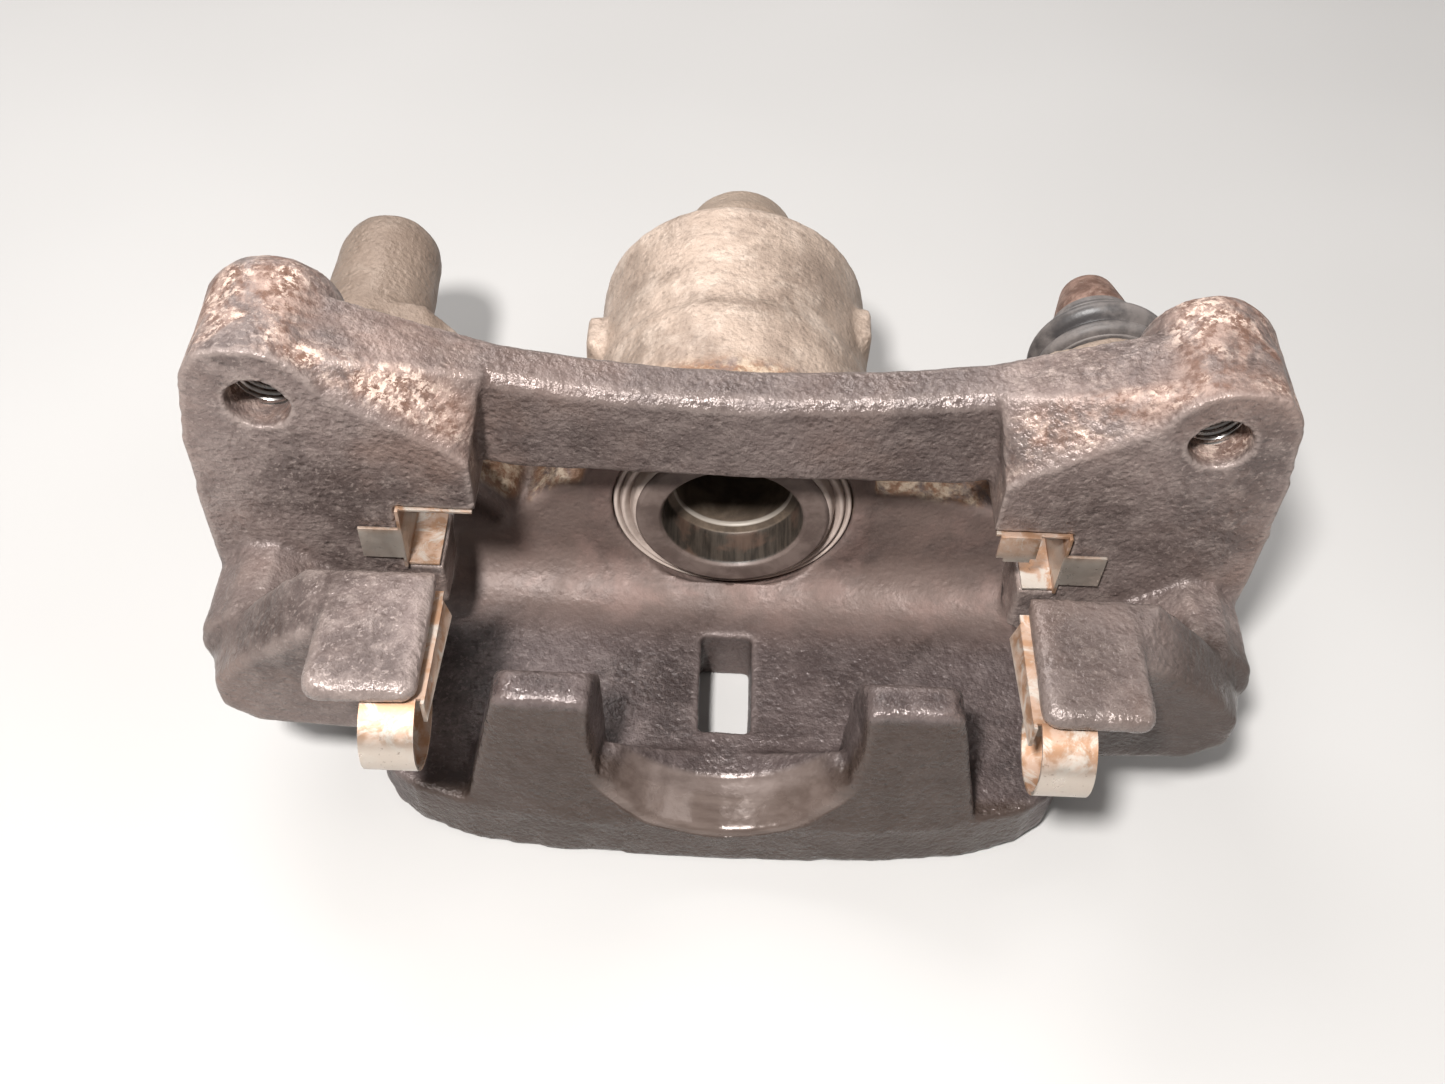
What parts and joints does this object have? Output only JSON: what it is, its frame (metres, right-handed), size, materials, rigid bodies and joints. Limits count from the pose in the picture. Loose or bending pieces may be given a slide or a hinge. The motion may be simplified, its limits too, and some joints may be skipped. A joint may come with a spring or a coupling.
{
  "type": "sliding brake caliper",
  "caption": "Single-piston sliding brake caliper on its mounting bracket, with slide pins, rubber boots, dust seal, bleeder and spring clips for the pads.",
  "frame": {"origin": "centre of the part's own box, on the plane it rests on, under the bridge", "axes": "+X along the pin-to-pin direction, +Y inboard along the piston axis, +Z from the bridge towards the wheel centre"},
  "size_m": [0.1914, 0.1543, 0.0944],
  "materials": {
    "bracket_iron": "dark greasy cast iron, fine grain, rust on its ears",
    "body_iron": "oily cast iron, the cylinder worn to a paler tan",
    "piston_steel": "turned steel, stained inside the cup",
    "pin_steel": "dull plated steel",
    "rusty_steel": "brown rust film",
    "clip_steel": "bright stainless strip with copper-coloured stains",
    "rubber": "dark grey rubber, dusty"
  },
  "bodies": {
    "caliper": {"caliper_body": "body_iron", "piston_seal": "rubber", "dust_boot": "rubber", "dust_boot_ring": "pin_steel", "lock_sleeve_bush": "rubber", "sleeve_boot_inboard": "rubber", "sleeve_boot_outboard": "rubber"},
    "slide_carrier": {"guide_pin_boot": "rubber"},
    "bracket": {"bracket": "bracket_iron", "guide_pin": "pin_steel", "guide_pin_washer": "pin_steel", "guide_pin_bush": "rubber", "clip_inboard_left": "clip_steel", "clip_inboard_right": "clip_steel", "clip_outboard_left": "clip_steel", "clip_outboard_right": "clip_steel"},
    "piston": {"piston": "piston_steel"},
    "lock_sleeve": {"lock_sleeve": "rusty_steel"},
    "bleeder": {"bleeder_screw": "pin_steel", "bleeder_cap": "rubber"}
  },
  "joints": [
    {"name": "slide_on_pins", "type": "slide", "parent": "caliper", "child": "slide_carrier", "axis": [0, -1, 0], "range_m": [0, 0.012]},
    {"name": "swing_on_guide_pin", "type": "hinge", "parent": "slide_carrier", "child": "bracket", "pos_m": [-0.076, 0, 0.046], "axis": [0, -1, 0], "range_deg": [0, 60]},
    {"name": "piston_stroke", "type": "slide", "parent": "caliper", "child": "piston", "axis": [0, -1, 0], "range_m": [-0.002, 0.02]},
    {"name": "lock_sleeve_slide", "type": "slide", "parent": "caliper", "child": "lock_sleeve", "axis": [0, 1, 0], "range_m": [0, 0.005]},
    {"name": "bleeder_turn", "type": "hinge", "parent": "caliper", "child": "bleeder", "pos_m": [-0.018, 0.055, 0.0155], "axis": [0, 1, 0], "range_deg": [0, 270]}
  ]
}
